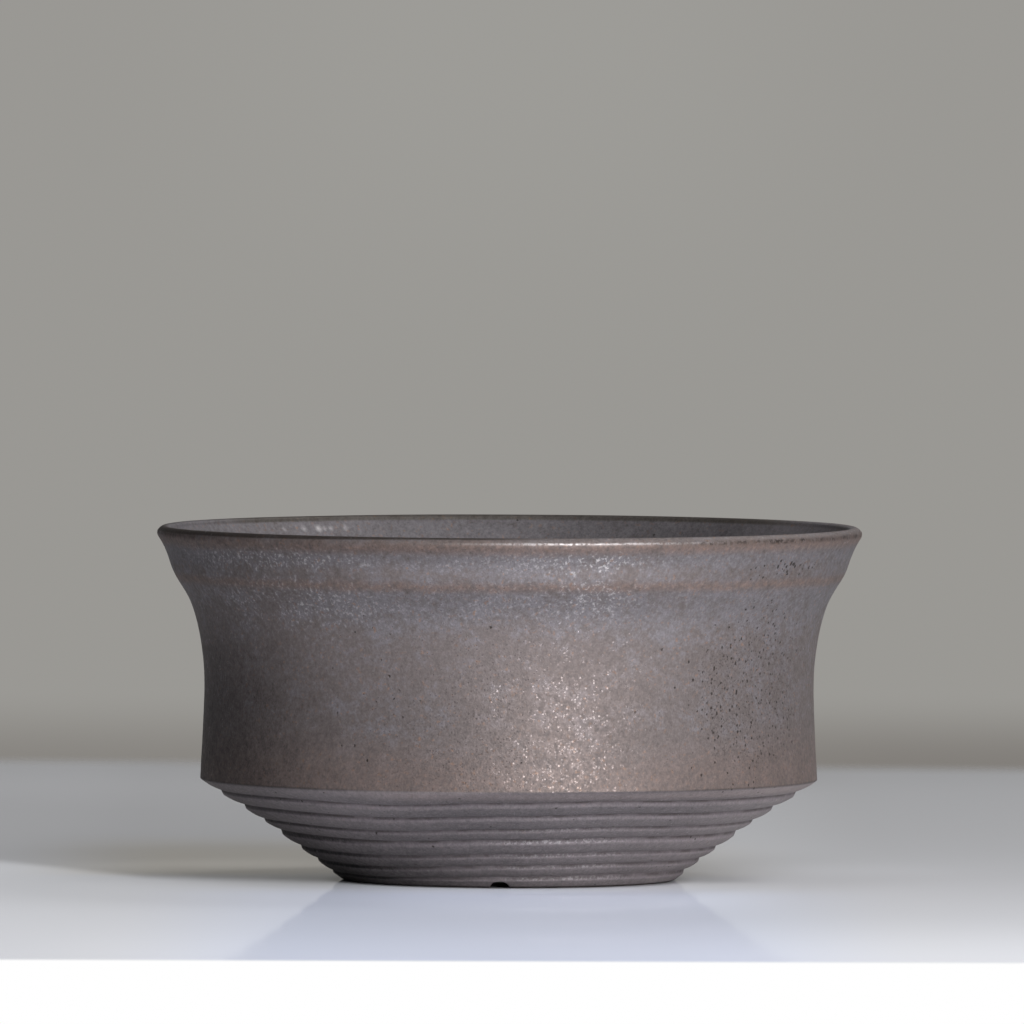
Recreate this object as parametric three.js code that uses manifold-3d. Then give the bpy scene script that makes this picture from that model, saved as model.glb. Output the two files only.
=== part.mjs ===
// A low wheel-thrown flower pot, 150 mm across the rim and 75 mm high, in millimetres with +Z up.
// It is one piece of fired stoneware: a flared rim over a drawn-in wall, a sharp edge where the wall
// turns under, a cone cut into rings that step in to the foot, and a foot ring round a drained base.
// The origin is the centre of the foot, on the surface that the pot stands on. -Y is the front.
import * as THREE from "three";
import { mergeVertices } from "three/addons/utils/BufferGeometryUtils.js";
import Module from "manifold-3d";

// Wall, outside
const height = 75.2;
const rimRadius = 75;
const waistRadius = 64.75;
const waistHeight = 41;
const edgeRadius = 65.6;
// The wall below the waist runs straight out to the edge and rounds upright over this height
const waistRound = 4;
// Above the waist the wall stays near upright for this height, then flares
const uprightWall = 14.5;
// The last stretch under the lip leans outwards: its height, and mm out for each mm up
const rimLean = 7.3;
const rimSlope = 0.71;

// Soft ridge that the thrower's finger left, this far below the top of the rim
const ridgeBelowRim = 9.9;
const ridgeProud = 1.15;
const ridgeHalfWidth = 4.3;

// Lip: its thickness, the narrow band round its outer edge, and the rounded bevels above that band
const lipThickness = 2.9;
const lipBandHeight = 0.8;
const lipBandUndercut = 0.13;
const lipBevelWidth = 1.6;
const lipBevelHeight = 1.2;
const lipInnerDrop = 0.9;

// Rings cut into the cone, from the edge down to the foot: their heights, and how far each steps in.
// The steps reach from the edge to the foot, so they stretch or shrink together if those are moved
const ringHeights = [2.3, 2.9, 3.0, 2.35, 3.25, 2.6, 2.5, 2.6];
const ringSteps = [4.4, 4.85, 4.3, 3.6, 4.2, 3.5, 3.3, 2.35];
const footRadius = 35.1;
// A ring starts with a steep drop, which ends at these shares of its step and height. Then it bends in
// to the next ring and arrives there nearly level, toward a corner at these shares of the same two
const dropIn = 0.11;
const dropDown = 0.42;
const cornerIn = 0.66;
const cornerDown = 0.98;
// The top ring has no drop, and bends only a little
const topCornerIn = 0.38;
const topCornerDown = 0.68;

// Foot ring and base
const footBevel = 0.5;
const footRingWidth = 6.2;
const recessDepth = 3.2;
const recessRound = 1.2;
const floorThickness = 5.4;
const drainRadius = 9;
const drainBevel = 0.8;

// Half-round notches across the foot ring, which let water out and air in
const notchCount = 3;
const notchWidth = 4.2;
const notchHeight = 1.5;
const frontNotchAngle = THREE.MathUtils.degToRad(-93);

// Inside. The bowl starts at this share of the way up from the edge to the waist, and rounds in to the
// flat floor. Its curve aims at a corner inside the edge and at one inside the cone, level with the floor
const wallThickness = 4.5;
const bowlStart = 0.4;
const edgeThickness = 5;
const edgeCornerRise = 1.5;
const coneThickness = 3;
const floorFlatRadius = 26;

// How finely the turned shape is divided
const turns = 64;
const flareSteps = 12;
const insideSteps = 7;
const roundSteps = 3;
const notchSteps = 24;

const total = (sizes) => sizes.reduce((sum, size) => sum + size, 0);
const edgeHeight = total(ringHeights);
const floorHeight = recessDepth + floorThickness;
const at = (r, z) => new THREE.Vector2(r, z);

// The points of a curve without its first one, which the stretch before it already ends on.
const after = (curve, steps) => curve.getPoints(steps).slice(1);

// A bend from one point to another, which leaves and arrives along the lines to its corner.
const bend = (from, corner, to) => after(new THREE.QuadraticBezierCurve(from, corner, to), roundSteps);

// Where the rings meet, from the foot up to the edge.
const ringEnds = [at(footRadius, 0)];
for (let i = ringHeights.length - 1; i >= 0; i -= 1) {
  const below = ringEnds.at(-1);
  const step = (ringSteps[i] * (edgeRadius - footRadius)) / total(ringSteps);
  ringEnds.push(at(below.x + step, below.y + ringHeights[i]));
}

// The cone's radius at a height, on a straight line between the ring ends above and below it.
function coneRadius(z) {
  const i = ringEnds.findIndex((end) => end.y > z);
  const [below, above] = [ringEnds[i - 1], ringEnds[i]];
  return THREE.MathUtils.mapLinear(z, below.y, above.y, below.x, above.x);
}

// The wall's outside between the edge and the waist.
const waist = at(waistRadius, waistHeight);
const lowerWall = new THREE.QuadraticBezierCurve(
  at(edgeRadius, edgeHeight),
  at(waistRadius, waistHeight - waistRound),
  waist,
);

// A point at shares of the way in and down from a ring's upper end to its lower end.
function within(upper, lower, inShare, downShare) {
  const { lerp } = THREE.MathUtils;
  return at(lerp(upper.x, lower.x, inShare), lerp(upper.y, lower.y, downShare));
}

// The outside of the cone, from the foot up to the edge.
function cone() {
  const [foot, ...ends] = ringEnds;
  const footDrop = within(ends[0], foot, dropIn, dropDown);
  const slope = footDrop.clone().sub(foot).normalize();
  const points = [at(foot.x - footBevel, 0), foot.clone().addScaledVector(slope, footBevel)];
  points.push(footDrop, ends[0]);
  const edge = ends.pop();
  for (let i = 1; i < ends.length; i += 1) {
    const corner = within(ends[i], ends[i - 1], cornerIn, cornerDown);
    const drop = within(ends[i], ends[i - 1], dropIn, dropDown);
    points.push(...bend(ends[i - 1], corner, drop), ends[i]);
  }
  const topCorner = within(edge, ends.at(-1), topCornerIn, topCornerDown);
  return [...points, ...bend(ends.at(-1), topCorner, edge)];
}

// The outside of the wall, from the edge up to the lip.
function wallOutside() {
  const lipFoot = at(rimRadius - lipBandUndercut, height - lipBevelHeight - lipBandHeight);
  const flare = new THREE.CubicBezierCurve(
    waist,
    at(waistRadius, waistHeight + uprightWall),
    at(lipFoot.x - rimSlope * rimLean, lipFoot.y - rimLean),
    lipFoot,
  );
  const ridgeHeight = height - ridgeBelowRim;
  const ridge = (z) => ridgeProud * Math.exp(-(((z - ridgeHeight) / ridgeHalfWidth) ** 2));
  const upper = after(flare, flareSteps).slice(0, -1);
  return [...after(lowerWall, roundSteps), ...upper.map((p) => at(p.x + ridge(p.y), p.y)), lipFoot];
}

// The lip, from the top of its outer band to its inner edge.
function lip() {
  const edge = at(rimRadius, height - lipBevelHeight);
  const top = at(rimRadius - lipBevelWidth, height);
  const inner = at(rimRadius - lipThickness, height - lipInnerDrop);
  return [
    edge,
    ...bend(edge, at((edge.x + top.x) / 2, height), top),
    ...bend(top, at(inner.x, height), inner),
  ];
}

// The inside, from the lip down to the flat floor. It follows the flare, then rounds in as a bowl.
function inside() {
  const lipInner = at(rimRadius - lipThickness, height - lipInnerDrop);
  const wallRadius = waistRadius - wallThickness;
  const flare = new THREE.CubicBezierCurve(
    lipInner,
    at(lipInner.x - rimSlope * rimLean, lipInner.y - rimLean),
    at(wallRadius, waistHeight + uprightWall),
    at(wallRadius, waistHeight),
  );
  const start = lowerWall.getPoint(bowlStart);
  const bowl = new THREE.CubicBezierCurve(
    at(start.x - wallThickness, start.y),
    at(edgeRadius - edgeThickness, edgeHeight + edgeCornerRise),
    at(coneRadius(floorHeight) - coneThickness, floorHeight),
    at(floorFlatRadius, floorHeight),
  );
  return [...after(flare, insideSteps), ...bowl.getPoints(insideSteps)];
}

// The drain hole with its two bevels, and the recess inside the foot ring.
function base() {
  const ringInside = footRadius - footRingWidth;
  const recessEdge = at(ringInside - recessRound, recessDepth);
  return [
    at(drainRadius + drainBevel, floorHeight),
    at(drainRadius, floorHeight - drainBevel),
    at(drainRadius, recessDepth + drainBevel),
    at(drainRadius + drainBevel, recessDepth),
    recessEdge,
    ...bend(recessEdge, at(ringInside, recessDepth), at(ringInside, recessDepth - recessRound)),
    at(ringInside, footBevel),
    at(ringInside + footBevel, 0),
  ];
}

const wasm = await Module();
wasm.setup();

// A closed geometry as a solid that can be cut.
function solid(geometry) {
  geometry.deleteAttribute("normal");
  geometry.deleteAttribute("uv");
  const merged = mergeVertices(geometry);
  return new wasm.Manifold(
    new wasm.Mesh({
      numProp: 3,
      vertProperties: new Float32Array(merged.attributes.position.array),
      triVerts: new Uint32Array(merged.index.array),
    }),
  );
}

// A solid as a geometry with flat facets.
function facets(cut) {
  const mesh = cut.getMesh();
  const shared = new THREE.BufferGeometry();
  shared.setAttribute("position", new THREE.BufferAttribute(mesh.vertProperties, 3));
  shared.setIndex(new THREE.BufferAttribute(mesh.triVerts, 1));
  const geometry = shared.toNonIndexed();
  geometry.computeVertexNormals();
  return geometry;
}

// The whole outline turned once about the Z axis.
function turnedPot() {
  const outline = [...cone(), ...wallOutside(), ...lip(), ...inside(), ...base()];
  const lathe = new THREE.LatheGeometry([...outline, outline[0]], turns);
  return solid(lathe.rotateX(Math.PI / 2));
}

// A round bar that lies across the foot ring, so that its top cuts one notch.
function notchBar(angle) {
  const radius = (notchWidth ** 2 / 4 + notchHeight ** 2) / (2 * notchHeight);
  const bar = new THREE.CylinderGeometry(radius, radius, 2 * footRingWidth, notchSteps);
  bar.rotateZ(Math.PI / 2);
  bar.translate(footRadius - footRingWidth / 2, 0, notchHeight - radius);
  bar.rotateZ(angle);
  return solid(bar);
}

let body = turnedPot();
for (let i = 0; i < notchCount; i += 1) {
  body = body.subtract(notchBar(frontNotchAngle + (i * 2 * Math.PI) / notchCount));
}

const bronzeGlaze = new THREE.MeshStandardMaterial({ color: 0x6f6461, roughness: 0.5, metalness: 0.35 });
const pot = new THREE.Mesh(facets(body), bronzeGlaze);
pot.name = "pot";

const flowerPot = new THREE.Group();
flowerPot.add(pot);

export default flowerPot;
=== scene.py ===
import math

import bpy
import numpy as np
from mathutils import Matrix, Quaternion, Vector


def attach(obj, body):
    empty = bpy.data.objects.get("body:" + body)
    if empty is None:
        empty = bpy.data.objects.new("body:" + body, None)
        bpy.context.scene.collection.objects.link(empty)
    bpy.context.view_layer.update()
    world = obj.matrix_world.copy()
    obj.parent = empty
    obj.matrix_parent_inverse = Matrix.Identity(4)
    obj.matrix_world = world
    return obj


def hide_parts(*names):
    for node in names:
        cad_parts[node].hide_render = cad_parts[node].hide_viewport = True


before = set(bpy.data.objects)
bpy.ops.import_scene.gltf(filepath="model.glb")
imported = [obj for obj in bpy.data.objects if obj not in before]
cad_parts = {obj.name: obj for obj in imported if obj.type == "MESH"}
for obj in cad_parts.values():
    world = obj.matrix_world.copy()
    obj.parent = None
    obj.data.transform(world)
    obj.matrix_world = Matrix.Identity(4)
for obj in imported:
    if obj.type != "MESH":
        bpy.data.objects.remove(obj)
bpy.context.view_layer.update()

scene = bpy.context.scene
scene.view_settings.view_transform = "Standard"


# The camera stands well back, a little above the rim, and takes in the pot from its front through a
# long lens, so that the rim shows as a thin oval and the foot sits just over the table's near edge.
camera_distance = 4.3
camera_height = 0.2235
camera_aim = Vector((0.0005, 0.0, 0.0782))
camera_tilt = math.radians(0.2)
lens_length = 711.7
sensor_width = 36.0
nearest_seen, farthest_seen = 0.5, 20.0

camera_data = bpy.data.cameras.new("camera")
camera_data.lens = lens_length
camera_data.sensor_width = sensor_width
camera_data.clip_start = nearest_seen
camera_data.clip_end = farthest_seen
camera = bpy.data.objects.new("camera", camera_data)
camera.location = (0.0, -camera_distance, camera_height)
camera.rotation_mode = "QUATERNION"
look = (camera_aim - camera.location).to_track_quat("-Z", "Y")
camera.rotation_quaternion = look @ Quaternion((0, 0, 1), camera_tilt)
scene.collection.objects.link(camera)
scene.camera = camera


# The pot: one bowl of stoneware, thrown on a wheel and turned when it was leather-hard. The tool left
# the sharp edge, the eight rings of the cone, the foot ring and its three notches. A bronze glaze was
# fired on, which is thin and copper brown on the edges and pools blue-grey in the hollows.
pot_height = 0.0752
rim_radius = 0.075
rim_lean, rim_slope = 0.0073, 0.71
waist_radius, waist_height = 0.06475, 0.041
waist_round = 0.004
upright_wall = 0.0145
edge_radius = 0.0656
ridge_below_rim = 0.0099
ridge_proud = 0.00115
ridge_half_width = 0.0043
lip_thickness = 0.0029
lip_band_height, lip_band_undercut = 0.0008, 0.00013
lip_bevel_width, lip_bevel_height = 0.0016, 0.0012
lip_inner_drop = 0.0009
# The rings, from the edge down. Each starts with a steep drop, turns over a corner and runs in to the
# next. The drop's end and the corner are given as shares of the ring's step and height.
ring_heights = [0.0023, 0.0029, 0.0030, 0.00235, 0.00325, 0.0026, 0.0025, 0.0026]
ring_steps = [0.0044, 0.00485, 0.0043, 0.0036, 0.0042, 0.0035, 0.0033, 0.00235]
drop_in, drop_down = 0.11, 0.42
corner_in, corner_down = 0.66, 0.98
top_corner_in, top_corner_down = 0.38, 0.68
foot_radius = 0.0351
foot_bevel = 0.0005
foot_ring_width = 0.0062
recess_depth, recess_round = 0.0032, 0.0012
floor_thickness = 0.0054
floor_flat_radius = 0.026
drain_radius, drain_bevel = 0.009, 0.0008
notch_count = 3
notch_width, notch_height = 0.0042, 0.0015
front_notch_angle = math.radians(-93)
wall_thickness = 0.0045
edge_thickness = 0.005
edge_corner_rise = 0.0015
cone_thickness = 0.003
bowl_start = 0.4

edge_height = sum(ring_heights)
floor_height = recess_depth + floor_thickness
fine_step = 0.00005
curve_steps = 80


def curve(*corners):
    """The points of a Bezier curve, without its last one, where the next stretch starts."""
    t = np.linspace(0, 1, curve_steps, endpoint=False)[:, None]
    rows = [np.array(c, float) + 0 * t for c in corners]
    while len(rows) > 1:
        rows = [a + (b - a) * t for a, b in zip(rows, rows[1:])]
    return rows[0]


ring_ends = [np.array((foot_radius, 0.0))]
for step, rise in zip(reversed(ring_steps), reversed(ring_heights)):
    ring_ends.append(ring_ends[-1] + (step, rise))


def cone_radius(z):
    """How wide the cone is at a height, with its rings taken as straight."""
    return np.interp(z, [end[1] for end in ring_ends], [end[0] for end in ring_ends])


def cone_outline():
    """The outside of the cone from the foot up to the edge, ring by ring."""
    foot, *ends = ring_ends
    foot_drop = ends[0] + (foot - ends[0]) * (drop_in, drop_down)
    slope = (foot_drop - foot) / np.linalg.norm(foot_drop - foot)
    lines = [
        curve((foot_radius - foot_bevel, 0), foot + slope * foot_bevel),
        curve(foot + slope * foot_bevel, foot_drop),
        curve(foot_drop, ends[0]),
    ]
    for lower, upper in zip(ends[:-2], ends[1:-1]):
        corner = upper + (lower - upper) * (corner_in, corner_down)
        drop = upper + (lower - upper) * (drop_in, drop_down)
        lines += [curve(lower, corner, drop), curve(drop, upper)]
    top_corner = ends[-1] + (ends[-2] - ends[-1]) * (top_corner_in, top_corner_down)
    return lines + [curve(ends[-2], top_corner, ends[-1])]


def wall_outline():
    """The outside of the wall from the edge, past the waist and the soft ridge, to the lip."""
    edge, waist = (edge_radius, edge_height), (waist_radius, waist_height)
    lip_foot = (rim_radius - lip_band_undercut, pot_height - lip_bevel_height - lip_band_height)
    lower = curve(edge, (waist_radius, waist_height - waist_round), waist)
    flare = curve(
        waist,
        (waist_radius, waist_height + upright_wall),
        (lip_foot[0] - rim_slope * rim_lean, lip_foot[1] - rim_lean),
        lip_foot,
    )
    from_ridge = (flare[:, 1] - (pot_height - ridge_below_rim)) / ridge_half_width
    flare[:, 0] += ridge_proud * np.exp(-(from_ridge**2))
    return [lower, flare, curve(lip_foot, (rim_radius, pot_height - lip_bevel_height))]


def lip_outline():
    """The lip's bevel and its rounded top."""
    edge = (rim_radius, pot_height - lip_bevel_height)
    top = (rim_radius - lip_bevel_width, pot_height)
    inner = (rim_radius - lip_thickness, pot_height - lip_inner_drop)
    return [
        curve(edge, ((edge[0] + top[0]) / 2, pot_height), top),
        curve(top, (inner[0], pot_height), inner),
    ]


def inside_outline():
    """The inside from the lip down the flare, round the bowl, to the drain hole."""
    lip = (rim_radius - lip_thickness, pot_height - lip_inner_drop)
    wall = waist_radius - wall_thickness
    t = bowl_start
    start_r = (1 - t) ** 2 * edge_radius + (1 - (1 - t) ** 2) * waist_radius
    start_z = (
        (1 - t) ** 2 * edge_height
        + 2 * t * (1 - t) * (waist_height - waist_round)
        + t**2 * waist_height
    )
    return [
        curve(
            lip,
            (lip[0] - rim_slope * rim_lean, lip[1] - rim_lean),
            (wall, waist_height + upright_wall),
            (wall, waist_height),
        ),
        curve((wall, waist_height), (start_r - wall_thickness, start_z)),
        curve(
            (start_r - wall_thickness, start_z),
            (edge_radius - edge_thickness, edge_height + edge_corner_rise),
            (cone_radius(floor_height) - cone_thickness, floor_height),
            (floor_flat_radius, floor_height),
        ),
        curve((floor_flat_radius, floor_height), (drain_radius + drain_bevel, floor_height)),
    ]


def base_outline():
    """The drain hole, the recess under the floor and the inner side of the foot ring."""
    inner = foot_radius - foot_ring_width
    corners = [
        (drain_radius + drain_bevel, floor_height),
        (drain_radius, floor_height - drain_bevel),
        (drain_radius, recess_depth + drain_bevel),
        (drain_radius + drain_bevel, recess_depth),
        (inner - recess_round, recess_depth),
    ]
    lines = [curve(a, b) for a, b in zip(corners, corners[1:])]
    lines.append(curve(corners[-1], (inner, recess_depth), (inner, recess_depth - recess_round)))
    lines.append(curve((inner, recess_depth - recess_round), (inner, foot_bevel)))
    lines.append(curve((inner, foot_bevel), (inner + foot_bevel, 0)))
    lines.append(curve((inner + foot_bevel, 0), (foot_radius - foot_bevel, 0)))
    return lines


def along(loop):
    """How far along a closed line each of its points lies, and the whole length last."""
    steps = np.linalg.norm(np.roll(loop, -1, axis=0) - loop, axis=1)
    return np.concatenate([[0.0], np.cumsum(steps)])


def spaced(loop, places):
    """The points of a closed line at the given distances along it."""
    closed = np.vstack([loop, loop[:1]])
    return np.stack([np.interp(places, along(loop), closed[:, k]) for k in (0, 1)], axis=1)


def softened(values, width):
    """Values round a closed line, each averaged with its neighbours within about the given width."""
    reach = int(4 * width / fine_step)
    weights = np.exp(-0.5 * (np.arange(-reach, reach + 1) * fine_step / width) ** 2)
    weights /= weights.sum()
    wrapped = np.concatenate([values[-reach:], values, values[:reach]])
    return np.convolve(wrapped, weights, mode="valid")


stretches = cone_outline() + wall_outline() + lip_outline() + inside_outline() + base_outline()
drawn = np.vstack(stretches)
drawn_length = along(drawn)[-1]
fine_count = int(drawn_length / fine_step)
fine_places = np.arange(fine_count) * drawn_length / fine_count
fine = spaced(drawn, fine_places)

# Clay worked with a wet finger and covered by glaze has no corner sharper than this.
glaze_round = 0.00008
fine = np.stack([softened(fine[:, k], glaze_round) for k in (0, 1)], axis=1)
tangent = np.roll(fine, -1, axis=0) - np.roll(fine, 1, axis=0)
heading = np.unwrap(np.arctan2(tangent[:, 1], tangent[:, 0]))
bend = (np.roll(heading, -1) - np.roll(heading, 1)) / (2 * fine_step)
bend[[0, -1]] = bend[[1, -2]]

# Rows lie closer together where the outline bends, and on the outside, which shows most.
outline_rows = 390
cone_share, wall_share, inside_share = 2.0, 1.0, 0.5
bend_share = 0.0015

counts = [len(s) for s in stretches]
outer_stretches = len(cone_outline()) + len(wall_outline()) + 1
inner_stretches = outer_stretches + 1 + len(inside_outline())
inside_starts = along(drawn)[sum(counts[:outer_stretches])]
base_starts = along(drawn)[sum(counts[:inner_stretches])]
on_outside = fine_places < inside_starts
on_inside = (fine_places >= inside_starts) & (fine_places < base_starts)
on_base = fine_places >= base_starts
on_rings = on_outside & (fine[:, 1] < edge_height)
density = np.where(on_outside, wall_share, inside_share)
density = np.where(on_rings, cone_share, density)
density = density + bend_share * softened(np.abs(bend), glaze_round)
filled = np.concatenate([[0.0], np.cumsum(density)])
row_fill = np.arange(outline_rows) * filled[-1] / outline_rows
row_places = np.interp(row_fill, filled, np.append(fine_places, drawn_length))
rows = spaced(fine, row_places)

# How deep in a groove the outline is, for painted shade that is darkest on the steep side just under the
# groove.
groove_width = 0.00022
groove_full = 1000.0
groove_shift = 0.0004
hollow = np.clip(-softened(bend, groove_width) / groove_full, 0, 1)
hollow = np.where(on_outside, np.roll(hollow, -int(groove_shift / fine_step)), 0.0)
# How far the cone's surface faces straight down, as it does on the lower part of each ring.
steep_limit, level_limit = 0.45, 0.90
level = np.clip((np.cos(heading) - steep_limit) / (level_limit - steep_limit), 0, 1)
level = np.where(on_rings, level, 0.0)
# The outline also says which part of it is the pot's inside and which is the base, with a soft border.
border_width = 0.0004

outline = bpy.data.meshes.new("pot_outline")
outline.from_pydata(
    [(r, 0.0, z) for r, z in rows],
    [(i, (i + 1) % outline_rows) for i in range(outline_rows)],
    [],
)
for name, values in (
    ("hollow", hollow),
    ("level", softened(level, groove_width)),
    ("inside", softened(on_inside.astype(float), border_width)),
    ("bare", softened(on_base.astype(float), border_width)),
):
    on_rows = np.interp(row_places, fine_places, values)
    outline.attributes.new(name, "FLOAT", "POINT").data.foreach_set("value", on_rows)


def add(tree, kind, inputs=None, **settings):
    """A node in a tree, with its settings, and with its inputs set to values or joined to sockets."""
    made = tree.nodes.new(kind)
    for key, value in settings.items():
        setattr(made, key, value)
    for key, value in (inputs or {}).items():
        if isinstance(value, bpy.types.NodeSocket):
            tree.links.new(value, made.inputs[key])
        else:
            made.inputs[key].default_value = value
    return made


def maths(tree, operation, *values):
    """The result of one step of arithmetic on sockets and numbers."""
    return add(tree, "ShaderNodeMath", dict(enumerate(values)), operation=operation).outputs[0]


def vectors(tree, operation, *values):
    """The result of one step of arithmetic on places and directions."""
    return add(tree, "ShaderNodeVectorMath", dict(enumerate(values)), operation=operation).outputs[0]


def scaled(tree, vector, factor):
    """A place, direction or colour with all of its parts scaled alike."""
    return add(tree, "ShaderNodeVectorMath", {0: vector, "Scale": factor}, operation="SCALE").outputs[0]


def stretched(tree, place, factors):
    """A place with each of its axes scaled, so that a pattern on it is drawn out or squeezed."""
    return vectors(tree, "MULTIPLY", place, factors)


def parts(tree, place):
    """A place's x, y and z."""
    return add(tree, "ShaderNodeSeparateXYZ", {0: place}).outputs


def total(tree, *values):
    """The sum of sockets and numbers."""
    result = values[0]
    for value in values[1:]:
        result = maths(tree, "ADD", result, value)
    return result


def product(tree, *values):
    """The product of sockets and numbers."""
    result = values[0]
    for value in values[1:]:
        result = maths(tree, "MULTIPLY", result, value)
    return result


def largest(tree, *values):
    """The largest of sockets and numbers."""
    result = values[0]
    for value in values[1:]:
        result = maths(tree, "MAXIMUM", result, value)
    return result


def between(tree, value, low, high, to_low=0.0, to_high=1.0):
    """A smooth change from one number to another as a value goes from low to high."""
    inputs = {"Value": value, "From Min": low, "From Max": high, "To Min": to_low, "To Max": to_high}
    made = add(tree, "ShaderNodeMapRange", inputs, interpolation_type="SMOOTHSTEP")
    return made.outputs[0]


def cloudy(tree, place, scale, seed, detail=2.0, roughness=0.5):
    """Cloudy noise around 0.5, with its features 1 / scale metres apart."""
    inputs = {"Vector": place, "W": seed, "Scale": scale, "Detail": detail, "Roughness": roughness}
    return add(tree, "ShaderNodeTexNoise", inputs, noise_dimensions="4D").outputs[0]


def tinted(tree, share, under, over):
    """One colour laid over another by a share."""
    made = add(tree, "ShaderNodeMix", {0: share, 6: under, 7: over}, data_type="RGBA")
    return made.outputs[2]


def band(tree, value, middle, half_width):
    """A soft stripe: 1 where a value is at the stripe's middle, and 0 from half its width away."""
    away = maths(tree, "ABSOLUTE", maths(tree, "SUBTRACT", value, middle))
    return between(tree, away, half_width, 0.0)


def patches(tree, place, *spots):
    """Soft round patches, each with its centre, its reach and its strength at the centre."""
    shares = []
    for centre, reach, strength in spots:
        away = add(tree, "ShaderNodeVectorMath", {0: place, 1: centre}, operation="DISTANCE")
        shares.append(product(tree, between(tree, away.outputs["Value"], reach, 0.0), strength))
    return total(tree, *shares)


# The glaze: a satin bronze over dark stoneware. It breaks copper brown where it is thin, on the lip, the
# soft ridge and the edge, and clouds blue-grey with pale crystals where it pooled between them. Pinholes,
# bright facets and a fine grain of both colours break it up.
bronze = (0.205, 0.174, 0.170, 1)
blue_grey = (0.214, 0.204, 0.224, 1)
copper = (0.250, 0.181, 0.158, 1)
rust = (0.300, 0.190, 0.140, 1)
cone_grey = (0.222, 0.200, 0.220, 1)
olive_painted_reflection = (0.205, 0.195, 0.168, 1)
frost_and_gleam = (0.60, 0.57, 0.575, 1)
# The darkest colour serves the pinholes and the dark marks, and is also painted shade in the grooves and
# along the foot.
burnt_and_shade = (0.030, 0.022, 0.018, 1)
lip_gold = (0.075, 0.060, 0.038, 1)
bare_clay = (0.100, 0.074, 0.060, 1)
pale_clay = (0.165, 0.126, 0.104, 1)

glaze = bpy.data.materials.new("bronze_glaze")
glaze.use_nodes = True
coat = glaze.node_tree
shader = coat.nodes["Principled BSDF"]
place = add(coat, "ShaderNodeTexCoord").outputs["Object"]
across, deep, height = parts(coat, place)
in_groove, faces_down, in_bowl, under_pot = (
    add(coat, "ShaderNodeAttribute", attribute_name=name).outputs["Fac"]
    for name in ("hollow", "level", "inside", "bare")
)
outside = maths(coat, "SUBTRACT", 1.0, in_bowl)
# Which way the pot's side looks: 1 to the right, and -1 to the left.
rightward = parts(coat, vectors(coat, "NORMALIZE", stretched(coat, place, (1.0, 1.0, 0.0))))[0]

# Four sizes of cloud, from single grains to whole fields of the wall, each with its number to a metre,
# its squeeze from top to bottom, its seed, its detail and its roughness. A lift is over or under 0.
clouds = [
    cloudy(coat, stretched(coat, place, (1.0, 1.0, squeeze)), scale, seed, detail, roughness)
    for scale, squeeze, seed, detail, roughness in (
        (2600.0, 0.85, 1.0, 1.0, 0.5),
        (950.0, 0.9, 2.0, 3.0, 0.7),
        (170.0, 1.3, 3.0, 4.0, 0.66),
        (30.0, 1.6, 4.0, 2.0, 0.5),
    )
]
speckle, grain, mottle, _ = clouds
speckle_lift, grain_lift, mottle_lift, cloud_lift = (
    maths(coat, "SUBTRACT", noise, 0.5) for noise in clouds
)
# Heights that wander up and down, for stripes with uneven borders.
wavy = total(coat, height, product(coat, mottle_lift, 0.0022), product(coat, cloud_lift, 0.0015))
wandering = total(coat, height, product(coat, cloud_lift, 0.007), product(coat, mottle_lift, 0.0025))

# The glaze ends on the foot ring and part of the way down the inside; below it the clay is bare.
glaze_end_top, glaze_end_low = 0.0464, 0.0460
on_clay = product(coat, between(coat, wandering, glaze_end_top, glaze_end_low), in_bowl)
on_clay = largest(coat, under_pot, on_clay)

# Stripes round the pot, from the lip down, each with its middle height and half its width.
lip_face = (0.0740, 0.0004)
lip_spotted = (0.0739, 0.0011)
lip_underside = (0.0729, 0.0021)
upper_belt = (0.0702, 0.0036)
lip_pitted = (0.0680, 0.0026)
high_stripe = (0.0676, 0.0042)
soft_ridge = (0.0647, 0.0017)
crystal_belt = (0.0608, 0.0110)
lower_belt = (0.0608, 0.0100)
flare_stripe = (0.0560, 0.0080)
waist_stripe = (0.0480, 0.0120)
sharp_edge = (0.02155, 0.00040)
bevel_light = (0.0206, 0.0016)
bevel_copper = (0.0204, 0.0018)
ring_pitted = (0.0180, 0.0018)

# Pools: two belts, above and below the soft ridge. The lower one's blue-grey fades on the left, a painted
# reflection of the blue light from the right. In a sum, a term's last number is its strength.
on_cone = product(coat, between(coat, height, 0.0218, 0.0215), outside)
near_edge = product(coat, between(coat, wavy, 0.036, 0.0225), outside)
upper_pool = product(coat, band(coat, wavy, *upper_belt), 0.60)
lower_pool = band(coat, wavy, *lower_belt)
lower_pool = product(coat, lower_pool, between(coat, across, -0.030, -0.055, 0.50, 0.22))
pooling = total(
    coat,
    0.16,
    product(coat, total(coat, upper_pool, lower_pool), outside),
    product(coat, in_bowl, 0.60),
    product(coat, near_edge, -0.45),
    product(coat, grain_lift, 1.7),
    product(coat, mottle_lift, 2.0),
    cloud_lift,
)
pooled = between(coat, pooling, 0.0, 0.8, 0.0, 0.75)

# Thin places: the soft ridge, the belt under the lip and the wall near the edge. The copper patch in the
# front's middle, where the highlight falls, is a painted warm tint on the highlight.
ridge_line = product(coat, band(coat, wavy, *soft_ridge), 0.95)
under_lip = product(coat, band(coat, wavy, *lip_underside), 0.95)
highlight_warm_tint = patches(coat, place, ((0.012, -0.064, 0.032), 0.030, 0.45))
copper_spread = largest(coat, ridge_line, under_lip, product(coat, near_edge, 0.55), highlight_warm_tint)
copper_share = product(coat, copper_spread, outside, between(coat, grain, 0.20, 0.62))
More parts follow.
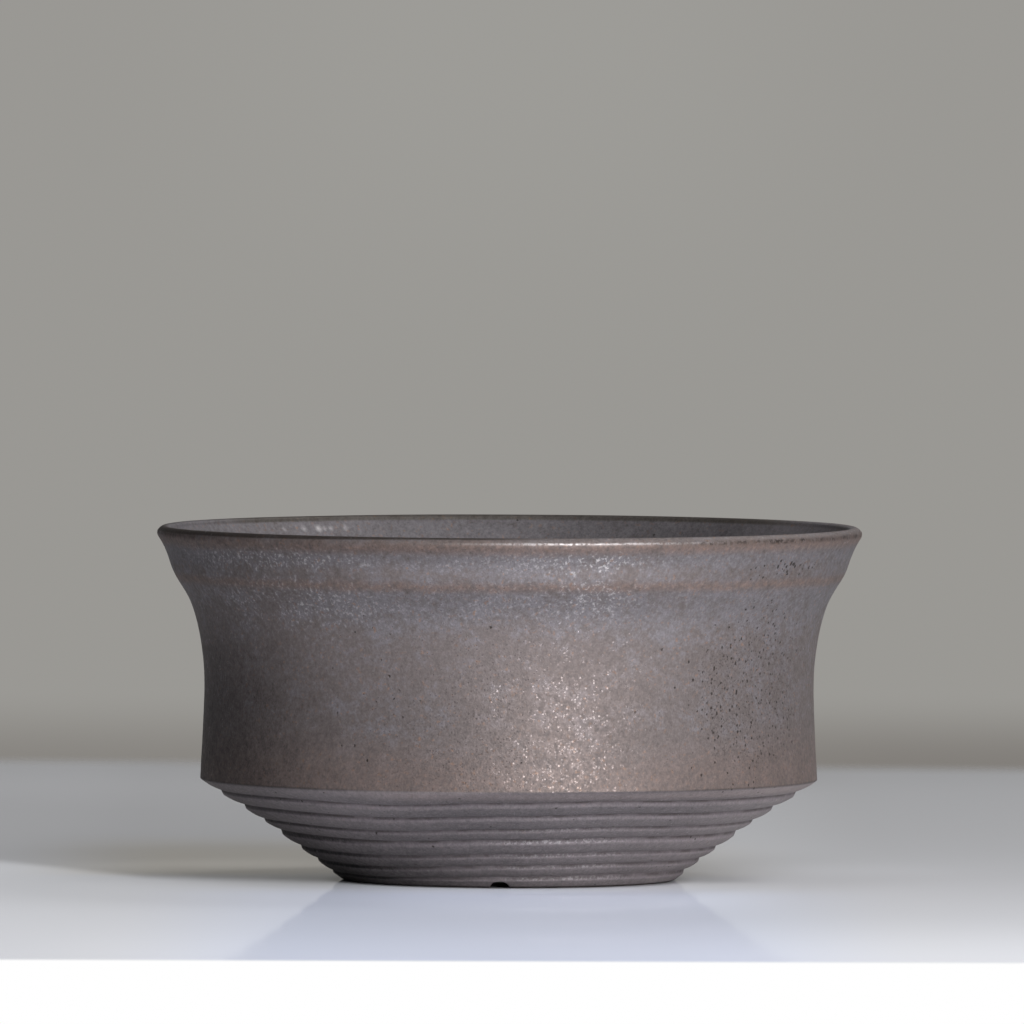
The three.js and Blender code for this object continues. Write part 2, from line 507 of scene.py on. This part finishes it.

# The cone is greyer, with an olive tint on the undersides of its rings, a painted reflection of the table,
# and copper on the bevel of the topmost one. Rust-coloured flecks lie over all of the pot, fewest on the
# cone.
copper_bevel = product(
    coat,
    on_cone,
    band(coat, height, *bevel_copper),
    between(coat, across, -0.040, -0.015, 0.0, 0.25),
)
rust_scale = 1150.0
rusty = between(coat, cloudy(coat, place, rust_scale, seed=5.0, detail=1.0), 0.60, 0.72)
rusty = product(coat, rusty, between(coat, mottle, 0.35, 0.65, 0.15, 0.75))
rust_share = product(coat, rusty, maths(coat, "SUBTRACT", 1.0, product(coat, on_cone, 0.8)))
colour = tinted(coat, pooled, bronze, blue_grey)
colour = tinted(coat, copper_share, colour, copper)
colour = tinted(coat, product(coat, on_cone, 0.75), colour, cone_grey)
colour = tinted(coat, product(coat, faces_down, 0.25), colour, olive_painted_reflection)
colour = tinted(coat, copper_bevel, colour, copper)
colour = tinted(coat, rust_share, colour, rust)

# Pale crystals, thickest in the pools and in a patch on the front left; two patches on the front right of
# the middle, where the light falls, add painted glitter to them.
crystal_scale = 1500.0
crystals = stretched(coat, place, (1.0, 1.0, 0.9))
crystals = cloudy(coat, crystals, crystal_scale, seed=6.0, roughness=0.6)
crystal_and_glitter_patches = patches(
    coat,
    place,
    ((-0.050, -0.050, 0.063), 0.042, 2.6),
    ((0.008, -0.068, 0.068), 0.045, 1.0),
    ((0.018, -0.067, 0.0688), 0.014, 3.2),
)
crystal_room = product(coat, band(coat, wavy, *crystal_belt), 0.50)
crystal_room = product(coat, pooled, total(coat, upper_pool, crystal_room, 0.06), outside)
crystal_room = product(coat, crystal_room, total(coat, 0.35, crystal_and_glitter_patches))
crystals_and_painted_gleams = product(coat, between(coat, crystals, 0.50, 0.68), crystal_room, 0.57)

# Six painted highlights: pale dots in a row high on the far wall's inside, each with its place across, reach
# and strength.
far_radius, far_level = 0.0709, 0.0726
far_wall_painted_highlights = [
    ((side, math.sqrt(far_radius**2 - side**2), far_level), reach, strength)
    for side, reach, strength in (
        (-0.0485, 0.0009, 0.35),
        (-0.0443, 0.0011, 0.45),
        (-0.0411, 0.0013, 0.90),
        (-0.0398, 0.0009, 0.50),
        (-0.0385, 0.0010, 0.50),
        (-0.0353, 0.0012, 0.40),
    )
]
crystals_and_painted_gleams = total(coat, crystals_and_painted_gleams, patches(coat, place, *far_wall_painted_highlights))

# Painted highlights on the crests of the lower rings and along the lip, a little right of the middle, fitted
# to the photo: paler colour there, and a glossier glaze as well.
crest = product(coat, between(coat, faces_down, 0.30, 0.0), on_cone)
cone_gleam = product(
    coat,
    crest,
    between(coat, across, -0.010, 0.006),
    between(coat, across, 0.030, 0.014),
    between(coat, height, 0.018, 0.011),
    between(coat, crystals, 0.46, 0.62),
)
lip_gleam = product(
    coat,
    band(coat, height, *lip_face),
    between(coat, across, -0.024, 0.010),
    between(coat, across, 0.050, 0.030),
    between(coat, crystals, 0.35, 0.58),
    outside,
)
crystals_and_painted_gleams = total(coat, crystals_and_painted_gleams, product(coat, cone_gleam, 0.45), product(coat, lip_gleam, 0.60))
colour = tinted(coat, crystals_and_painted_gleams, colour, frost_and_gleam)

# Pinholes: ragged dark specks, thick low on the right of the wall, some under the lip there, a few on
# the left of the wall and on the rings, and hardly any elsewhere.
ragged_scale, ragged_by = 2600.0, 0.00035
pit_scale = 1130.0
ragged = {"Vector": place, "Scale": ragged_scale, "Detail": 1.0}
ragged = add(coat, "ShaderNodeTexNoise", ragged).outputs["Color"]
pit_place = vectors(coat, "ADD", place, stretched(coat, ragged, (ragged_by,) * 3))
pit_place = stretched(coat, pit_place, (0.96, 1.04, 0.78))
pit_cells = add(coat, "ShaderNodeTexVoronoi", {"Vector": pit_place, "Scale": pit_scale}).outputs
pit_chance = add(coat, "ShaderNodeSeparateColor", {0: pit_cells["Color"]}).outputs
pit_patches = patches(
    coat,
    place,
    ((0.052, -0.039, 0.041), 0.025, 2.6),
    ((-0.030, -0.057, 0.041), 0.022, 0.16),
)
lip_pits = patches(coat, place, ((0.059, -0.040, 0.0680), 0.020, 1.0))
lip_pits = product(coat, lip_pits, band(coat, height, *lip_pitted))
ring_pits = patches(coat, place, ((-0.020, -0.054, 0.0180), 0.045, 1.0))
ring_pits = product(coat, ring_pits, band(coat, height, *ring_pitted))
pit_room = total(
    coat,
    0.012,
    pit_patches,
    product(coat, lip_pits, 1.5),
    product(coat, ring_pits, 0.12),
    product(coat, on_cone, 0.04),
)
pit_open = between(coat, maths(coat, "SUBTRACT", pit_room, pit_chance[0]), 0.0, 0.01)
pit_size = between(coat, pit_chance[1], 0.0, 1.0, 0.08, 0.34)
pit_size = total(coat, pit_size, product(coat, lip_pits, 0.14))
pits = between(coat, maths(coat, "SUBTRACT", pit_size, pit_cells["Distance"]), 0.0, 0.10)
pits = product(coat, pits, pit_open)
specks = between(coat, speckle, 0.42, 0.30)
specks = product(coat, specks, between(coat, pit_patches, 0.0, 1.2), 0.45)
pits = largest(coat, pits, specks)
colour = tinted(coat, product(coat, pits, 0.85), colour, burnt_and_shade)

# The far side of the lip is a dull gold.
far_lip = product(coat, between(coat, height, 0.0738, 0.0744), between(coat, deep, 0.030, 0.050), 0.65)
colour = tinted(coat, far_lip, colour, lip_gold)

# Dark marks and painted shade: dark spots along the lip on the right, where the glaze drew back, a dark line
# along the top of the lip on the left and another along the edge; and painted shade along the foot where it
# stands, in the grooves between the rings and in a patch at the foot's left.
lip_start = between(coat, across, -0.060, -0.010, 0.0743, 0.0748)
lip_line = product(
    coat,
    between(coat, maths(coat, "SUBTRACT", height, lip_start), -0.0002, 0.0002, 0.0, 0.85),
    between(coat, across, 0.015, -0.010),
    between(coat, grain, 0.30, 0.55, 0.62, 1.0),
)
lip_spots = product(
    coat,
    band(coat, height, *lip_spotted),
    between(coat, across, 0.025, 0.045),
    between(coat, grain, 0.40, 0.58),
    between(coat, mottle, 0.38, 0.58, 0.35, 0.95),
)
to_side = maths(coat, "ABSOLUTE", across)
edge_line = product(
    coat,
    band(coat, height, *sharp_edge),
    between(coat, to_side, 0.020, 0.045, 0.12, 0.6),
)
foot_contact_shade = between(coat, height, 0.0006, 0.0002, 0.0, 0.8)
dark_marks_and_foot_shade = product(coat, largest(coat, lip_line, lip_spots, edge_line, foot_contact_shade), outside)
groove_painted_shade = product(
    coat,
    in_groove,
    between(coat, grain, 0.20, 0.50),
    between(coat, mottle, 0.38, 0.60, 0.32, 0.72),
)
foot_left_painted_shade = patches(coat, place, ((-0.031, -0.016, 0.001), 0.018, 0.85))
colour = tinted(coat, dark_marks_and_foot_shade, colour, burnt_and_shade)
colour = tinted(coat, largest(coat, groove_painted_shade, foot_left_painted_shade), colour, burnt_and_shade)

# Painted light and shade on the cone: how light its topmost bevel, its crests and undersides, and its left
# and right are. This and the next are fitted to the photo, where glaze and light can't be told apart.
upper_left = product(coat, between(coat, rightward, -0.15, -0.65), between(coat, height, 0.009, 0.019))
lower_left = product(coat, between(coat, rightward, -0.05, -0.80), between(coat, height, 0.012, 0.002))
lower_right = product(coat, between(coat, rightward, 0.0, 0.45), between(coat, height, 0.022, 0.008))
front_undersides = product(
    coat,
    faces_down,
    between(coat, rightward, 0.3, -0.2),
    between(coat, rightward, -0.80, -0.50),
)
cone_painted_light = total(
    coat,
    0.10,
    product(coat, band(coat, height, *bevel_light), 0.32),
    product(coat, crest, 0.03),
    product(coat, crest, between(coat, rightward, -0.50, -0.80), -0.60),
    product(coat, upper_left, between(coat, height, 0.0185, 0.0205, 0.42, 0.12)),
    product(coat, lower_left, -0.50),
    product(coat, lower_right, 0.17),
    product(coat, between(coat, rightward, 0.60, 0.95), 0.32),
    product(coat, front_undersides, -0.12),
)

# Painted light and shade elsewhere, over the glaze's own grains and clouds: the inside, the shaded left of
# the wall, the front's middle, the wall near the edge, under the lip, and belts round the wall, on the ridge
# and above it.
left_painted_shade = product(
    coat,
    between(coat, across, -0.031, -0.061),
    between(coat, height, 0.066, 0.044, 0.2, 1.0),
    outside,
)
high_painted_light = product(
    coat,
    band(coat, height, *high_stripe),
    between(coat, across, -0.053, -0.022),
    between(coat, across, 0.052, 0.020, -0.02, 0.24),
)
waist_painted_light = band(coat, height, *waist_stripe)
waist_painted_light = product(coat, waist_painted_light, between(coat, across, 0.025, 0.045, 0.12, 0.0))
flare_painted_light = band(coat, height, *flare_stripe)
flare_painted_light = product(coat, flare_painted_light, between(coat, across, 0.025, 0.045, 0.12, 0.04))
tone_and_painted_light = total(
    coat,
    1.0,
    product(coat, speckle_lift, 0.6),
    product(coat, grain_lift, 0.9),
    product(coat, mottle_lift, 0.55),
    product(coat, in_bowl, between(coat, across, -0.015, -0.040, -0.18, -0.08)),
    product(coat, in_bowl, between(coat, across, 0.0, 0.02), -0.10),
    product(coat, in_bowl, between(coat, across, 0.046, 0.062), 0.55),
    product(coat, left_painted_shade, -0.40),
    patches(coat, place, ((0.016, -0.063, 0.040), 0.030, -0.13)),
    product(coat, near_edge, -0.06),
    product(coat, under_lip, outside, between(coat, across, 0.030, -0.045, -0.02, -0.20)),
    product(coat, on_cone, cone_painted_light),
    product(coat, total(coat, high_painted_light, waist_painted_light, flare_painted_light), outside),
    product(coat, ridge_line, outside, -0.07),
)
colour = scaled(coat, colour, tone_and_painted_light)
clay_grain = total(coat, grain, product(coat, mottle_lift, 0.8))
clay = tinted(coat, between(coat, clay_grain, 0.38, 0.66), bare_clay, pale_clay)
clay = tinted(coat, product(coat, rusty, 0.35), clay, rust)
coat.links.new(tinted(coat, on_clay, colour, clay), shader.inputs["Base Color"])

# Facets: small flat crystals, each tilted its own way, which flash where they face a window. On the
# whole they lean a little to the right.
facet_scale = 1750.0
facet_tilt = 0.37
facet_middle = (0.32, 0.5, 0.5)
facet_cells = add(coat, "ShaderNodeTexVoronoi", {"Vector": place, "Scale": facet_scale}).outputs
facet_chance = add(coat, "ShaderNodeSeparateColor", {0: facet_cells["Color"]}).outputs
facet_patch = patches(coat, place, ((0.003, -0.066, 0.035), 0.050, 1.0))
facet_room = product(coat, between(coat, mottle, 0.40, 0.60, 0.25, 0.75), total(coat, 0.10, facet_patch))
facet_here = between(coat, maths(coat, "SUBTRACT", facet_room, facet_chance[0]), 0.0, 0.02)
facets = product(coat, facet_here, between(coat, facet_cells["Distance"], 0.60, 0.15), outside)
tilt = vectors(coat, "SUBTRACT", facet_cells["Color"], facet_middle)
tilt = scaled(coat, tilt, product(coat, facets, facet_tilt))
facing = vectors(coat, "ADD", add(coat, "ShaderNodeNewGeometry").outputs["Normal"], tilt)
facing = vectors(coat, "NORMALIZE", facing)

glaze_metal = 0.35
metal = product(coat, maths(coat, "SUBTRACT", 1.0, on_clay), glaze_metal)
coat.links.new(metal, shader.inputs["Metallic"])
dullness = total(
    coat,
    0.60,
    product(coat, grain_lift, -0.30),
    product(coat, on_cone, 0.03),
    product(coat, on_clay, 0.30),
    product(coat, crystals_and_painted_gleams, -0.20),
    product(coat, facets, -0.32),
    product(coat, facet_patch, -0.05),
    product(coat, cone_gleam, -0.20),
    product(coat, lip_gleam, -0.25),
)
coat.links.new(dullness, shader.inputs["Roughness"])

# The relief: grains stand up from the surface and pinholes sink in.
relief_depth = 0.00007
relief = total(coat, product(coat, grain, 1.2), product(coat, speckle, 0.5), product(coat, pits, -1.6))
raised = {"Height": relief, "Strength": 1.0, "Distance": relief_depth, "Normal": facing}
coat.links.new(add(coat, "ShaderNodeBump", raised).outputs[0], shader.inputs["Normal"])

# Turning: the outline is carried once round the wheel. The steps round are closer together at the
# notches, so that their half-round tops come out smooth.
turning = bpy.data.node_groups.new("turn_pot", "GeometryNodeTree")
turning.is_modifier = True
turning.interface.new_socket("Geometry", in_out="INPUT", socket_type="NodeSocketGeometry")
turning.interface.new_socket("Geometry", in_out="OUTPUT", socket_type="NodeSocketGeometry")
turning_sizes = {
    "Steps Round": ("NodeSocketInt", 256),
    "Closer At Notches": ("NodeSocketFloat", 0.55),
    "Notches": ("NodeSocketInt", notch_count),
    "Notch Angle": ("NodeSocketFloat", front_notch_angle),
    "Notch Width": ("NodeSocketFloat", notch_width),
    "Notch Height": ("NodeSocketFloat", notch_height),
    "Hand Wave": ("NodeSocketFloat", 0.00022),
    "Finger Ridges": ("NodeSocketFloat", 0.00010),
    "Tool Wobble": ("NodeSocketFloat", 0.00022),
    "Rings Sink": ("NodeSocketFloat", 0.0007),
    "Rings Rise": ("NodeSocketFloat", 0.0003),
    "Seed": ("NodeSocketFloat", 7.3),
    "Glaze": ("NodeSocketMaterial", glaze),
}
for name, (kind, _) in turning_sizes.items():
    turning.interface.new_socket(name, in_out="INPUT", socket_type=kind)
size = turning.nodes.new("NodeGroupInput").outputs

circle = add(turning, "GeometryNodeCurvePrimitiveCircle", {"Resolution": size["Steps Round"]})
wheel = add(turning, "GeometryNodeCaptureAttribute", {"Geometry": circle.outputs[0]})
wheel.capture_items.new("FLOAT", "step")
turning.links.new(add(turning, "GeometryNodeInputIndex").outputs[0], wheel.inputs["step"])
line = add(turning, "GeometryNodeMeshToCurve", {"Mesh": size["Geometry"]})
template = add(turning, "GeometryNodeCaptureAttribute", {"Geometry": line.outputs[0]})
template.capture_items.new("VECTOR", "place")
turning.links.new(add(turning, "GeometryNodeInputPosition").outputs[0], template.inputs["place"])
body = add(
    turning,
    "GeometryNodeCurveToMesh",
    {"Curve": wheel.outputs[0], "Profile Curve": template.outputs[0]},
)
# The outline runs so that its sweep looks inward, and is turned right side out.
body = add(turning, "GeometryNodeFlipFaces", {"Mesh": body.outputs[0]})
turn = maths(turning, "DIVIDE", wheel.outputs["step"], size["Steps Round"])
even_angle = maths(turning, "MULTIPLY", turn, math.tau)
bunching = maths(turning, "SUBTRACT", even_angle, size["Notch Angle"])
bunching = maths(turning, "SINE", maths(turning, "MULTIPLY", bunching, size["Notches"]))
bunching = maths(turning, "MULTIPLY", bunching, size["Closer At Notches"])
angle = maths(turning, "SUBTRACT", even_angle, maths(turning, "DIVIDE", bunching, size["Notches"]))
row_radius, _, row_height = parts(turning, template.outputs["place"])
turned_x = maths(turning, "MULTIPLY", row_radius, maths(turning, "COSINE", angle))
turned_y = maths(turning, "MULTIPLY", row_radius, maths(turning, "SINE", angle))

# The rings are not quite level: the tool sank a little on the front left and rose next to it. Both
# fade out at the foot, at the edge and towards the back.
sunk_stripe = (-0.026, 0.026)
risen_stripe = (0.022, 0.022)
back_fade = (0.0, -0.012)
foot_fade = (0.0008, 0.003)
edge_fade = (0.0222, 0.0205)
on_shell = [
    add(turning, "GeometryNodeInputNamedAttribute", {0: name}, data_type="FLOAT").outputs[0]
    for name in ("inside", "bare")
]
on_shell = product(turning, *(maths(turning, "SUBTRACT", 1.0, share) for share in on_shell))
sunk = product(turning, band(turning, turned_x, *sunk_stripe), size["Rings Sink"], -1.0)
risen = product(turning, band(turning, turned_x, *risen_stripe), size["Rings Rise"])
off_level = product(
    turning,
    total(turning, sunk, risen),
    between(turning, turned_y, *back_fade),
    between(turning, row_height, *foot_fade),
    between(turning, row_height, *edge_fade),
    on_shell,
)
turned_place = add(
    turning,
    "ShaderNodeCombineXYZ",
    {0: turned_x, 1: turned_y, 2: total(turning, row_height, off_level)},
).outputs[0]
turned = add(turning, "GeometryNodeSetPosition", {"Geometry": body.outputs[0], "Position": turned_place})

# Hand work: a slow wave round the wall, the soft ridges that fingers leave, and the wobble of the
# turning tool on the cone. All of it fades out at the foot, which stands flat. Each is a cloud, with
# its stretch across, back and up and its scale.
tool_fade = (0.0225, 0.0205)
stand_fade = (0.0004, 0.002)
wave, fingers, tool = (
    product(
        turning,
        maths(
            turning,
            "SUBTRACT",
            0.5,
            cloudy(turning, stretched(turning, turned_place, stretch), scale, size["Seed"], detail=1.0),
        ),
        size[name],
    )
    for name, stretch, scale in (
        ("Hand Wave", (1.0, 1.0, 1.0), 18.0),
        ("Finger Ridges", (12.0, 12.0, 260.0), 1.0),
        ("Tool Wobble", (28.0, 28.0, 520.0), 1.0),
    )
)
tool = product(turning, tool, between(turning, row_height, *tool_fade))
proud = total(turning, wave, fingers, tool)
proud = product(turning, proud, between(turning, row_height, *stand_fade))
push = scaled(turning, add(turning, "GeometryNodeInputNormal").outputs[0], proud)
worked = add(turning, "GeometryNodeSetPosition", {"Geometry": turned.outputs[0], "Offset": push})

# Notches: the foot ring's underside is lifted to a half-round bar that lies across it.
half_gap = maths(turning, "DIVIDE", math.pi, size["Notches"])
from_notch = maths(turning, "SUBTRACT", angle, size["Notch Angle"])
nearest = maths(turning, "WRAP", from_notch, half_gap, maths(turning, "MULTIPLY", half_gap, -1.0))
off_bar = maths(turning, "MULTIPLY", row_radius, maths(turning, "SINE", nearest))
off_bar = maths(turning, "DIVIDE", off_bar, maths(turning, "MULTIPLY", size["Notch Width"], 0.5))
arch = maths(turning, "SUBTRACT", 1.0, maths(turning, "MULTIPLY", off_bar, off_bar))
arch = maths(turning, "SQRT", maths(turning, "MAXIMUM", arch, 0.0))
arch = maths(turning, "MULTIPLY", arch, size["Notch Height"])
now_x, now_y, now_height = parts(turning, add(turning, "GeometryNodeInputPosition").outputs[0])
lifted = add(
    turning,
    "ShaderNodeCombineXYZ",
    {0: now_x, 1: now_y, 2: maths(turning, "MAXIMUM", now_height, arch)},
).outputs[0]
cut = add(turning, "GeometryNodeSetPosition", {"Geometry": worked.outputs[0], "Position": lifted})
smooth = add(turning, "GeometryNodeSetShadeSmooth", {"Geometry": cut.outputs[0], "Shade Smooth": True})
whole = add(turning, "GeometryNodeRealizeInstances", {"Geometry": smooth.outputs[0]})
glazed = add(turning, "GeometryNodeSetMaterial", {"Geometry": whole.outputs[0], "Material": size["Glaze"]})
turning.links.new(glazed.outputs[0], add(turning, "NodeGroupOutput").inputs[0])

pot = bpy.data.objects.new("thrown_pot", outline)
scene.collection.objects.link(pot)
on_wheel = pot.modifiers.new("turning", "NODES")
on_wheel.node_group = turning
for name, (_, value) in turning_sizes.items():
    on_wheel[turning.interface.items_tree[name].identifier] = value
bpy.context.view_layer.update()
thrown = pot.evaluated_get(bpy.context.evaluated_depsgraph_get())
pot.data = bpy.data.meshes.new_from_object(thrown)
pot.data.name = "thrown_pot"
pot.modifiers.clear()

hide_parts("pot")
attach(pot, "root")


# The table: a pale glossy top that the pot stands on, with its square near edge in front of the pot. Its
# front glows plain white to the camera, painted light for a front that catches the light, and its far end
# melts into the background.
table_half_width = 0.5
table_near, table_far = -0.319, 0.57
table_past_far = 0.03
table_blend = 0.07
table_thickness = 0.06
table_pale = (0.90, 0.91, 0.98, 1)
table_grey = (0.735, 0.745, 0.79, 1)
table_sheen = (0.90, 0.90, 0.90, 1)
table_blue = (0.90, 0.93, 0.99, 1)
front_reflection_blue = (0.84, 0.88, 1.0, 1)
front_reflection_bluest = (0.80, 0.87, 1.10, 1)
shade_warm_light = (0.83, 0.79, 0.72, 1)

table_line = [(table_far + table_past_far, 0.0), (table_near, 0.0), (table_near, -table_thickness)]
table_mesh = bpy.data.meshes.new("table")
table_mesh.from_pydata(
    [(side * table_half_width, y, z) for y, z in table_line for side in (-1, 1)],
    [],
    [(2 * i, 2 * i + 2, 2 * i + 3, 2 * i + 1) for i in range(len(table_line) - 1)],
)
table = bpy.data.objects.new("table", table_mesh)
scene.collection.objects.link(table)
table_top = bpy.data.materials.new("table_top")
table_top.use_nodes = True
top = table_top.node_tree
top_shader = top.nodes["Principled BSDF"]
top_shader.inputs["Specular IOR Level"].default_value = 0.0
top_place = add(top, "ShaderNodeTexCoord").outputs["Object"]
top_x, top_y, _ = parts(top, top_place)
top_camera = add(top, "ShaderNodeLightPath").outputs["Is Camera Ray"]

# Its paint is paler near the front and greyer far back, a painted fall-off of the light; bluer in front of
# the pot, a painted reflection;
# and warmer in the pot's shade, which lies behind and to the left, painted warm light in the shade.
top_colour = tinted(top, between(top, top_y, table_near, 0.25), table_pale, table_grey)
in_front = between(top, maths(top, "ABSOLUTE", top_x), 0.085, 0.040)
in_front = product(top, in_front, between(top, top_y, -0.02, -0.07))
top_colour = tinted(top, in_front, top_colour, front_reflection_blue)
in_shade = product(
    top,
    between(top, top_y, 0.0, 0.03),
    between(top, top_y, 0.20, 0.10),
    between(top, top_x, 0.07, 0.0),
    between(top, top_x, -0.11, -0.07),
)
top.links.new(tinted(top, in_shade, top_colour, shade_warm_light), top_shader.inputs["Base Color"])

# The room's light lies on the table as a weak painted glow, which the camera sees in full and the pot
# only in part. It is brightest in front of a line that starts at the foot and runs back to the left,
# steeper past each of two places.
light_line_bends = ((0.038, -0.55), (0.077, -1.4))
from_light = top_y
for bend_left, slope in light_line_bends:
    past = maths(top, "MAXIMUM", total(top, product(top, top_x, -1.0), -bend_left), 0.0)
    from_light = total(top, from_light, product(top, past, slope))
glow_in_front_left = product(
    top,
    between(top, from_light, -0.002, -0.032),
    between(top, top_x, 0.050, 0.0),
    between(top, top_x, 0.10, -0.12, 0.19, 0.23),
)
glow_right = product(top, between(top, top_y, 0.14, -0.30), between(top, top_x, 0.0, 0.050), 0.235)
# Four wide fields, each with its limits back and across, and with its strength at both ends across:
# along the near edge, at the far left, beside the pot on the left and behind it on the right.
glow_fields = [
    product(top, between(top, top_y, *back), between(top, top_x, *sideways, *strengths))
    for back, sideways, strengths in (
        ((-0.13, -0.30), (-0.11, -0.05), (0.02, 0.12)),
        ((0.30, 0.46), (-0.02, -0.08), (0.0, 0.03)),
        ((0.0, 0.05), (-0.08, -0.105), (0.0, 0.02)),
        ((0.0, 0.08), (0.05, 0.09), (0.0, 0.03)),
    )
]
glow_behind = product(
    top,
    between(top, top_y, 0.06, 0.14),
    between(top, top_y, 0.48, 0.36),
    between(top, top_x, 0.0, 0.03),
    between(top, top_x, 0.085, 0.045),
    0.09,
)
glow_at_foot = product(
    top,
    between(top, top_y, -0.16, -0.045),
    between(top, top_y, 0.0, -0.02),
    between(top, top_x, -0.045, -0.010),
    between(top, top_x, 0.065, 0.035),
    0.16,
)
glow = total(
    top,
    between(top, top_y, 0.52, 0.38, 0.02, 0.045),
    between(top, top_x, 0.0, -0.15, 0.0, 0.035),
    glow_in_front_left,
    glow_right,
    *glow_fields,
    glow_behind,
    glow_at_foot,
    patches(top, top_place, ((-0.050, 0.048, 0.0), 0.050, 0.13), ((0.060, 0.040, 0.0), 0.050, 0.06)),
)
from_pot = add(top, "ShaderNodeVectorMath", {0: top_place}, operation="LENGTH").outputs["Value"]
foot_gap, clear_radius = 0.0001, 0.041
unseen_share = 0.35
clear_of_foot = between(top, from_pot, foot_radius + foot_gap, clear_radius)
seen_share = between(top, top_camera, 0.0, 1.0, unseen_share, 1.0)
top.links.new(product(top, glow, clear_of_foot, seen_share), top_shader.inputs["Emission Strength"])
glow_colour = tinted(top, in_front, table_blue, front_reflection_bluest)
top.links.new(tinted(top, in_shade, glow_colour, shade_warm_light), top_shader.inputs["Emission Color"])

# Polish over the paint, the white front, and the far end that fades away, sooner on the right.
polish_share, polish_dullness = 0.35, 0.045
front_fade = (table_near + 0.014, table_near + 0.002)
far_slant, far_inset = 0.118, 0.010
polish = add(top, "ShaderNodeBsdfGlossy", {"Color": table_sheen, "Roughness": polish_dullness}).outputs[0]
polished = add(top, "ShaderNodeMixShader", {0: polish_share, 1: top_shader.outputs[0], 2: polish}).outputs[0]
front_white = product(top, top_camera, between(top, top_y, *front_fade))
front = add(top, "ShaderNodeEmission", {"Color": (1, 1, 1, 1), "Strength": 1.0}).outputs[0]
with_front = add(top, "ShaderNodeMixShader", {0: front_white, 1: polished, 2: front}).outputs[0]
far_place = total(top, top_y, product(top, top_x, far_slant))
gone = between(top, far_place, table_far - far_inset - table_blend, table_far - far_inset)
see_through = add(top, "ShaderNodeBsdfTransparent").outputs[0]
blended = add(top, "ShaderNodeMixShader", {0: gone, 1: with_front, 2: see_through})
top.links.new(blended.outputs[0], top.nodes["Material Output"].inputs["Surface"])
table_mesh.materials.append(table_top)


# The light: a soft window light low on the right of the camera, with the sky above it, a weaker pair
# further round, one high behind on the right and one overhead. None comes from the left, where the pot
# falls into shade.
lamp_distance = 1.3
lamp_side = 0.6


def lamp(name, azimuth, elevation, watts):
    """A square lamp aimed at the pot. Azimuth 0 is at the camera, and 90 is on the right."""
    azimuth, elevation = math.radians(azimuth), math.radians(elevation)
    data = bpy.data.lights.new(name, "AREA")
    data.shape = "RECTANGLE"
    data.size = lamp_side
    data.size_y = lamp_side
    data.energy = watts
    made = bpy.data.objects.new(name, data)
    level_part = math.cos(elevation)
    spot = Vector((math.sin(azimuth) * level_part, -math.cos(azimuth) * level_part, math.sin(elevation)))
    spot = spot * lamp_distance
    made.location = Vector((0, 0, pot_height / 2)) + spot
    made.rotation_mode = "QUATERNION"
    made.rotation_quaternion = (-spot).to_track_quat("-Z", "Y")
    scene.collection.objects.link(made)


lamp("window_light", 20, 8, 10.2)
lamp("sky_light", 20, 35, 3.0)
lamp("second_window_light", 40, 8, 0.8)
lamp("second_sky_light", 40, 35, 2.5)
lamp("back_light", 130, 50, 3.4)
lamp("ceiling_light", 0, 85, 1.7)


# The room: a dim one, with a plain grey wall behind the pot, darker low down and palest above the pot.
# The wall shows to the camera, through glass, and in mirror images of what lies straight behind.
room_light = (0.01, 0.01, 0.01, 1)
backdrop_grey = (0.322, 0.314, 0.296, 1)
backdrop_high = (0.338, 0.331, 0.312, 1)
backdrop_low = (0.247, 0.235, 0.218, 1)
backdrop_low_right = (0.224, 0.211, 0.195, 1)
# Where the wall changes, as the x, y or z of a direction: straight behind, the top of its low part, its
# right half, and the sides and the start of the part above the pot.
straight_behind = (0.80, 0.97)
low_part_top = (-0.0462, -0.0425)
right_half = (0.0, 0.02)
above_pot_sides = (0.022, 0.004)
above_pot_start = (-0.03, -0.01)
world = bpy.data.worlds.new("room")
scene.world = world
world.use_nodes = True
room = world.node_tree
way_across, way_back, way_up = parts(room, add(room, "ShaderNodeTexCoord").outputs["Generated"])
ray = add(room, "ShaderNodeLightPath").outputs
mirrored = product(room, ray["Is Glossy Ray"], between(room, way_back, *straight_behind))
seen = largest(room, ray["Is Camera Ray"], ray["Is Transmission Ray"], mirrored)
low = tinted(room, between(room, way_across, *right_half), backdrop_low, backdrop_low_right)
backdrop = tinted(room, between(room, way_up, *low_part_top), low, backdrop_grey)
above_pot = between(room, maths(room, "ABSOLUTE", way_across), *above_pot_sides)
above_pot = product(room, above_pot, between(room, way_up, *above_pot_start))
backdrop = tinted(room, above_pot, backdrop, backdrop_high)
room_colour = tinted(room, seen, room_light, backdrop)
room.links.new(room_colour, room.nodes["Background"].inputs["Color"])
